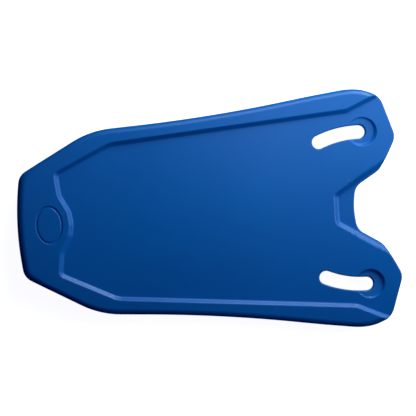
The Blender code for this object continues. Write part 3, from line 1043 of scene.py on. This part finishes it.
@dataclass
class EdgeTape:
    """The woven tape folded round the pad's edge, with a row of stitches on each flap."""

    pad: PadForm
    step: float = 2.2

    def profile(self) -> list[Point]:
        """The tape's closed section as (inset from the outline, level), outer face first."""
        pad = self.pad
        top = pad.impact_top + pad.gap + pad.tape
        low = pad.lining_bottom - pad.gap - pad.tape
        outer, free = pad.tape_inset, pad.tape_inset + pad.flap
        points = [(free, top - 0.3), (free - 0.3, top), (free - 1.6, top - 0.12),
                  (free - 2.4, top - 0.12), (outer + 1.4, top), (outer + 0.45, top - 0.4),
                  (outer, top - 1.4), (outer + 0.1, top - 4.5), (outer + 0.15, (top + low) / 2.0),
                  (outer + 0.1, low + 4.5), (outer, low + 1.4), (outer + 0.45, low + 0.4),
                  (outer + 1.4, low), (free - 2.4, low + 0.12), (free - 1.6, low + 0.12),
                  (free - 0.3, low), (free, low + 0.3)]
        inner = [(free, low + 0.75), (outer + 1.2, low + 0.85), (outer + 0.9, low + 1.3),
                 (outer + 0.9, top - 1.3), (outer + 1.2, top - 0.85), (free, top - 0.75)]
        return points + inner

    def build(self) -> bpy.types.Object:
        """Sweep the section round the outline and lay out its texture coordinates."""
        points, normals = self.pad.edge(0.0, self.step)
        along = np.concatenate(([0.0], np.cumsum(np.linalg.norm(np.diff(points, axis=0), axis=1))))
        ripple = 0.10 * np.sin(along / 3.1) + 0.07 * np.sin(along / 7.7 + 1.0)
        bm = bmesh.new()
        rings: list[list[BMVert]] = []
        section = self.profile()
        for number, (inset, level) in enumerate(section):
            flapping = ripple if number in (0, 1, 16, 15) else ripple * 0.3
            plan = points + normals * (inset + flapping)[:, None]
            target = np.column_stack((plan, self.pad.plate.bend(plan) + level))
            if rings:
                rings.append(extrude_ring(bm, rings[-1], target))
            else:
                edges = new_loop(bm, plan)
                rings.append([edges[(i + 1) % len(edges)].verts[0] for i in range(len(edges))])
                for vert, place in zip(rings[0], target):
                    vert.co = place
        bmesh.ops.bridge_loops(bm, edges=ring_edges(bm, rings[0]) + ring_edges(bm, rings[-1]))
        bmesh.ops.recalc_face_normals(bm, faces=bm.faces)
        self._unwrap(bm, rings, along)
        return store(bm, "edge_tape", 80.0)

    @staticmethod
    def _unwrap(bm: BMesh, rings: list[list[BMVert]], along: np.ndarray) -> None:
        """Coordinates in millimetres along and across the tape."""
        layer = bm.loops.layers.uv.new("tape")
        spot = {vert: (row, column) for row, ring in enumerate(rings)
                for column, vert in enumerate(ring)}
        across = [0.0]
        for before, after in zip(rings, rings[1:]):
            across.append(across[-1] + (after[0].co - before[0].co).length)
        total = along[-1] + float(np.linalg.norm(rings[0][0].co - rings[0][-1].co))
        for face in bm.faces:
            columns = [spot[loop.vert][1] for loop in face.loops]
            wraps = max(columns) - min(columns) > 2
            for loop in face.loops:
                row, column = spot[loop.vert]
                length = total if wraps and column == 0 else along[column]
                loop[layer].uv = (length * 0.01, across[row] * 0.01)

    def stitches(self) -> bpy.types.Object:
        """Thread along both flaps."""
        pad = self.pad
        top = pad.impact_top + pad.gap + pad.tape - 0.02
        low = pad.lining_bottom - pad.gap - pad.tape + 0.02
        points, _ = pad.edge(pad.tape_inset + pad.flap - 2.0, self.step)
        closed = np.vstack((points, points[:1]))
        rows = [np.column_stack((closed, pad.plate.bend(closed) + level)) for level in (top, low)]
        return Thread("tape_stitches", 3.6, 2.5, 0.34).build(rows)


@dataclass
class Patches:
    """The round hook patches under the shell and the loop patches on the pad."""

    pad: PadForm
    radius: float = 20.0

    def build(self, node: str, low: float, high: float) -> bpy.types.Object:
        """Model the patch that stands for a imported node, between two levels."""
        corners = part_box(node)
        middle = [(corners[0][axis] + corners[1][axis]) / 2.0 / MM for axis in range(2)]
        angles = -np.arange(72) * 2.0 * math.pi / 72
        out = np.column_stack((np.cos(angles), np.sin(angles)))
        wobble = self.radius - 0.25 + 0.15 * np.sin(angles * 5.0 + len(node))
        edge = (np.array(middle) + out * wobble[:, None], -out)
        slab = Slab(edge, self.pad.at(high), self.pad.at(low), 0.35, 2.5, steps=3)
        return store(slab.build(), node.replace("patch", "pile"))


# ------------------------------------------------------------------ studio
def fill(node: bpy.types.Node, inputs: dict) -> None:
    """Set a node's inputs, by name or number, to values or to other nodes' sockets."""
    for key, value in inputs.items():
        if isinstance(value, bpy.types.NodeSocket):
            node.id_data.links.new(value, node.inputs[key])
        else:
            node.inputs[key].default_value = value


@dataclass
class Studio:
    """Pale floor, soft lights and the camera."""

    aim: Triple = (0.00076, 0.00828, 0.025)
    roll: float = math.radians(3.19)
    lens: float = 200.0
    sensor: float = 36.0
    view_width: float = 0.416
    box_size: float = 0.3
    light_colour: Triple = (1.0, 1.10, 0.98)
    boxes: tuple[tuple[Triple, float], ...] = (
        ((0.30, 0.50, 0.18), 1.38), ((0.08, 0.42, 0.28), 0.68), ((0.45, 0.08, 0.28), 0.76),
        ((0.20, 0.20, 0.50), 0.22),
    )

    def build(self) -> None:
        """Make the floor, lights, world and camera."""
        self._camera()
        self._floor()
        self._lights()

    def _camera(self) -> None:
        """Look straight down from far above, a little turned."""
        data = bpy.data.cameras.new("camera")
        data.lens, data.sensor_width = self.lens, self.sensor
        camera = add_object("camera", data)
        distance = self.view_width * self.lens / self.sensor
        camera.location = Vector(self.aim) + Vector((0.0, 0.0, distance))
        camera.rotation_euler = (0.0, 0.0, -self.roll)
        bpy.context.scene.camera = camera

    def _floor(self) -> None:
        """A wide plain floor."""
        bm = bmesh.new()
        bmesh.ops.create_grid(bm, x_segments=1, y_segments=1, size=6000.0)
        floor = store(bm, "floor")
        material = bpy.data.materials.new("pale_floor")
        material.use_nodes = True
        fill(material.node_tree.nodes["Principled BSDF"], {
            "Base Color": (0.8, 0.8, 0.8, 1.0), "Roughness": 0.9,
            "Emission Color": (1.0, 1.0, 1.0, 1.0), "Emission Strength": 0.96})
        floor.data.materials.append(material)
        floor.visible_diffuse = False
        floor.visible_glossy = False

    def _lights(self) -> None:
        """A bank of near soft boxes round the upper right corner and a faint cool fill."""
        for number, (place, power) in enumerate(self.boxes):
            self._soft_box(f"soft_box_{number}", place, power)
        world = bpy.data.worlds.new("studio")
        world.use_nodes = True
        fill(world.node_tree.nodes["Background"],
             {"Color": (0.05, 0.08, 1.0, 1.0), "Strength": 0.05})
        bpy.context.scene.world = world

    def _soft_box(self, name: str, place: Triple, power: float) -> None:
        """One square area light that faces the plate."""
        data = bpy.data.lights.new(name, "AREA")
        data.size, data.energy, data.color = self.box_size, power, self.light_colour
        light = add_object(name, data)
        light.location = place
        light.rotation_euler = (Vector(place) - Vector(self.aim)).to_track_quat("Z", "Y").to_euler()


# ------------------------------------------------------------------ materials
@dataclass
class Graph:
    """A node tree that is built one node at a time."""

    tree: bpy.types.NodeTree

    def add(self, kind: str, inputs: Optional[dict] = None, **settings: object) -> bpy.types.Node:
        """Add a node.

        Args:
            kind: The node's type.
            inputs: Values or sockets for its inputs, by name or number.
            **settings: The node's own properties.

        Returns:
            The node.
        """
        node = self.tree.nodes.new(kind)
        for name, value in settings.items():
            setattr(node, name, value)
        fill(node, inputs or {})
        return node

    def math(self, operation: str, *values: Value) -> bpy.types.NodeSocket:
        """The result of one sum on numbers."""
        return self.add("ShaderNodeMath", dict(enumerate(values)), operation=operation).outputs[0]

    def ramp(self, value: Value, low: float, high: float, start: float,
             end: float) -> bpy.types.NodeSocket:
        """Map a value from low..high to start..end, held at both ends."""
        return self.add("ShaderNodeMapRange",
                        {0: value, 1: low, 2: high, 3: start, 4: end}).outputs[0]

    def mix(self, share: Value, first: Value, second: Value) -> bpy.types.NodeSocket:
        """A colour between two."""
        return self.add("ShaderNodeMix", {0: share, 6: first, 7: second},
                        data_type="RGBA").outputs[2]

    def noise(self, vector: Value, scale: float, detail: float = 2.0,
              rough: float = 0.5) -> bpy.types.NodeSocket:
        """Noise between 0 and 1."""
        return self.add("ShaderNodeTexNoise", {"Vector": vector, "Scale": scale, "Detail": detail,
                                               "Roughness": rough}).outputs[0]


def group(name: str, inputs: dict[str, str], outputs: dict[str, str]) -> tuple:
    """Start a shared node group.

    Args:
        name: The group's name.
        inputs: The kind of each input socket, by name.
        outputs: The kind of each output socket, by name.

    Returns:
        The graph, its input node and its output node.
    """
    tree = bpy.data.node_groups.new(name, "ShaderNodeTree")
    for side, sockets in (("INPUT", inputs), ("OUTPUT", outputs)):
        for socket, kind in sockets.items():
            tree.interface.new_socket(name=socket, in_out=side, socket_type="NodeSocket" + kind)
    graph = Graph(tree)
    return graph, graph.add("NodeGroupInput"), graph.add("NodeGroupOutput")


def grain_group() -> bpy.types.NodeTree:
    """Moulded or foamed grain: pits of one size over broad uneven patches."""
    graph, given, result = group("surface_grain", {"Vector": "Vector", "Scale": "Float"},
                                 {"Height": "Float", "Patches": "Float"})
    vector, scale = given.outputs[:2]
    fine = graph.noise(vector, scale, 3.0)
    cells = graph.add("ShaderNodeTexVoronoi", {"Vector": vector, "Scale": scale})
    broad = graph.noise(vector, 11.0, 3.0)
    height = graph.math("MULTIPLY_ADD", cells.outputs["Distance"], 0.5, fine)
    fill(result, {"Height": height, "Patches": broad})
    return graph.tree


def weave_group() -> bpy.types.NodeTree:
    """Plain weave: threads along both axes of a plane that pass over and under each other."""
    graph, given, result = group(
        "plain_weave", {"Vector": "Vector", "Scale": "Float"}, {"Height": "Float", "Over": "Float"})
    scaled = graph.add("ShaderNodeVectorMath", {0: given.outputs[0], 3: given.outputs[1]},
                       operation="SCALE").outputs[0]
    axes = graph.add("ShaderNodeSeparateXYZ", {0: scaled}).outputs
    warp = graph.math("ABSOLUTE", graph.math("SINE", axes[0]))
    weft = graph.math("ABSOLUTE", graph.math("SINE", axes[1]))
    half = graph.add("ShaderNodeVectorMath", {0: scaled, 1: (1 / math.pi, 1 / math.pi, 0.0)},
                     operation="MULTIPLY").outputs[0]
    over = graph.add("ShaderNodeTexChecker", {"Vector": half, "Scale": 1.0}).outputs[1]
    height = graph.add("ShaderNodeMix", {0: over, 2: warp, 3: weft}).outputs[0]
    fill(result, {"Height": height, "Over": over})
    return graph.tree


def dust_group() -> bpy.types.NodeTree:
    """Handling marks: a colour lightened a little by faint uneven specks and rubs."""
    graph, given, result = group(
        "handling", {"Vector": "Vector", "Color": "Color", "Amount": "Float"}, {"Color": "Color"})
    vector, colour, amount = given.outputs[:3]
    specks = graph.ramp(graph.noise(vector, 900.0, 2.0), 0.66, 0.76, 0.0, 1.0)
    rubs = graph.ramp(graph.noise(vector, 26.0, 4.0, 0.6), 0.5, 0.8, 0.15, 1.0)
    share = graph.math("MULTIPLY", graph.math("MULTIPLY", specks, rubs), amount)
    fill(result, {"Color": graph.mix(share, colour, (0.45, 0.5, 0.56, 1.0))})
    return graph.tree


class Weave(Enum):
    """How a fabric's threads lie."""

    NONE = 0.0
    TAPE = 520.0
    PILE = 1500.0


@dataclass(frozen=True)
class Finish:
    """What one kind of surface is made of."""

    name: str
    colour: Triple
    # A second colour: random tone on the plain finishes, painted shade in mesh holes and weave
    # gaps, and painted light on pile tufts.
    accent: Triple
    roughness: Point
    grain: float
    bump: float
    sheen: float = 0.0
    weave: Weave = Weave.NONE
    dust: float = 0.0


FINISHES = {
    "shell": Finish("shell_plastic", (0.0, 0.165, 0.70), (0.0, 0.150, 0.66), (0.30, 0.38),
                    1300.0, 0.10, dust=0.02),
    "eva": Finish("impact_eva", (0.034, 0.036, 0.041), (0.046, 0.048, 0.053), (0.62, 0.8),
                  800.0, 0.5, dust=0.25),
    # The mesh's accent colour is painted shade for the inside of its holes.
    "mesh": Finish("lining_mesh", (0.085, 0.090, 0.105), (0.018, 0.019, 0.023), (0.75, 0.9),
                   1600.0, 0.8, sheen=0.35, dust=0.12),
    # The tape's accent colour is painted shade for the gaps between its threads.
    "tape": Finish("binding_tape", (0.050, 0.052, 0.060), (0.018, 0.018, 0.022), (0.6, 0.8),
                   1900.0, 0.8, sheen=0.25, weave=Weave.TAPE, dust=0.15),
    # The hook and loop piles' accent colour is painted light for their tuft tops, against darker
    # hollows.
    "hook": Finish("hook_pile", (0.020, 0.020, 0.023), (0.06, 0.062, 0.068), (0.4, 0.6),
                   900.0, 1.0, weave=Weave.PILE),
    "loop": Finish("loop_pile", (0.026, 0.026, 0.030), (0.075, 0.078, 0.085), (0.85, 1.0),
                   420.0, 1.0, sheen=0.6, weave=Weave.PILE, dust=0.2),
    "thread": Finish("blue_thread", (0.03, 0.16, 0.55), (0.02, 0.09, 0.36), (0.45, 0.6),
                     2200.0, 0.4, sheen=0.2),
}


class Materials:
    """Builds each finish once, on the shared node groups."""

    def __init__(self) -> None:
        """Make the node groups."""
        self.grain = grain_group()
        self.weave = weave_group()
        self.dust = dust_group()
        self.made: dict[str, bpy.types.Material] = {}

    def get(self, key: str) -> bpy.types.Material:
        """The material of a finish, made when it is first asked for."""
        if key not in self.made:
            self.made[key] = self._build(FINISHES[key])
        return self.made[key]

    def _build(self, finish: Finish) -> bpy.types.Material:
        """Lay out one finish's nodes."""
        material = bpy.data.materials.new(finish.name)
        material.use_nodes = True
        graph = Graph(material.node_tree)
        place = graph.add("ShaderNodeTexCoord").outputs["Object"]
        grain = graph.add("ShaderNodeGroup", {"Vector": place, "Scale": finish.grain},
                          node_tree=self.grain)
        height, patches = grain.outputs
        share, height = self._pattern(graph, finish, place, height, patches)
        base = graph.mix(share, (*finish.colour, 1.0), (*finish.accent, 1.0))
        dust = graph.add("ShaderNodeGroup", {"Vector": place, "Color": base, "Amount": finish.dust},
                         node_tree=self.dust)
        rough = graph.ramp(graph.math("MULTIPLY_ADD", height, 0.35, patches), 0.35, 1.05,
                           *finish.roughness)
        bump = graph.add("ShaderNodeBump", {"Strength": finish.bump, "Distance": 0.00025,
                                            "Height": height})
        fill(material.node_tree.nodes["Principled BSDF"], {
            "Base Color": dust.outputs[0], "Roughness": rough, "Normal": bump.outputs[0],
            "Sheen Weight": finish.sheen, "Sheen Roughness": 0.45})
        return material

    def _pattern(self, graph: Graph, finish: Finish, place: Value, height: Value,
                 patches: Value) -> tuple[Value, Value]:
        """The share of the accent colour and the relief, for the finish's own structure; the accent
        is painted shade in the mesh's holes and the tape's weave gaps, and painted light on the
        pile's tuft tops.
        """
        if finish.name == "lining_mesh":
            cells = graph.add("ShaderNodeTexVoronoi", {"Vector": place, "Scale": 300.0,
                                                       "Randomness": 0.25})
            # Painted shade: the holes take the darker accent colour, as the shade inside them.
            holes = graph.ramp(cells.outputs["Distance"], 0.20, 0.34, 1.0, 0.0)
            seam = graph.add("ShaderNodeAttribute", attribute_name="seam").outputs["Fac"]
            open_mesh = graph.math("MULTIPLY", holes, graph.ramp(seam, 0.2, 0.7, 1.0, 0.15))
            relief = graph.math("MULTIPLY_ADD", open_mesh, -1.6, height)
            return open_mesh, relief
        if finish.weave is Weave.TAPE:
            along = graph.add("ShaderNodeUVMap", uv_map="tape").outputs[0]
            woven = graph.add("ShaderNodeGroup", {"Vector": along, "Scale": finish.weave.value},
                              node_tree=self.weave)
            relief = graph.math("MULTIPLY_ADD", woven.outputs["Height"], 1.5, height)
            # Painted shade: the low places between the threads take the darker accent colour.
            return graph.ramp(woven.outputs["Height"], 0.0, 0.8, 1.0, 0.0), relief
        if finish.weave is Weave.PILE:
            tufts = graph.noise(place, finish.weave.value, 4.0, 0.7)
            relief = graph.math("MULTIPLY_ADD", tufts, 2.0, height)
            # Painted light and shade: raised tufts take the lighter accent colour, and the hollows
            # between them keep the darker base colour.
            return graph.ramp(tufts, 0.45, 0.65, 0.0, 1.0), relief
        return graph.ramp(patches, 0.35, 0.65, 0.0, 1.0), height


@dataclass
class Assembly:
    """Builds and dresses every piece of the back plate."""

    form: PlateForm
    materials: Materials = field(default_factory=Materials)

    def dress(self, piece: bpy.types.Object, body: str, slot: str, finish: str,
              *nodes: str) -> None:
        """Give a piece its material and its body, and hide the nodes it stands for."""
        piece.data.materials.clear()
        piece.data.materials.append(self.materials.get(finish))
        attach(piece, body)
        if nodes:
            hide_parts(*nodes)
        LOG.info("%s: %d faces on %s", piece.name, len(piece.data.polygons), body)

    def build(self) -> None:
        """Make the shell, the pad's layers, its tape and the patches."""
        pad = PadForm(self.form)
        self.dress(ShellPlate(self.form).build(), "shell", "shell_plastic", "shell", "outer_shell")
        foam = ImpactLayer(pad).build()
        self.dress(foam, "pad", "impact_eva", "eva", "impact_foam")
        cushion = BodyCushion(pad)
        soft = cushion.build()
        self.dress(cushion.stitches(soft), "pad", "lining_fabric", "thread")
        self.dress(soft, "pad", "lining_fabric", "mesh", "comfort_foam", "body_lining")
        tape = EdgeTape(pad)
        self.dress(tape.build(), "pad", "binding_tape", "tape", "edge_binding")
        self.dress(tape.stitches(), "pad", "binding_tape", "thread")
        patches = Patches(pad)
        for number in range(1, 7):
            for kind, body, levels in (("loop", "pad", (2.5, 3.4)), ("hook", "shell", (3.7, 4.7))):
                node = f"{kind}_patch_{number}"
                self.dress(patches.build(node, *levels), body, f"{kind}_tape", kind, node)


def main() -> None:
    """Build every sub-assembly in order."""
    logging.basicConfig(level=logging.INFO, format="%(asctime)s %(message)s", force=True)
    bpy.context.scene.view_settings.view_transform = "Standard"
    Assembly(PlateForm(lift=PANEL_LIFT)).build()
    Studio().build()


if __name__ == "__main__":
    main()
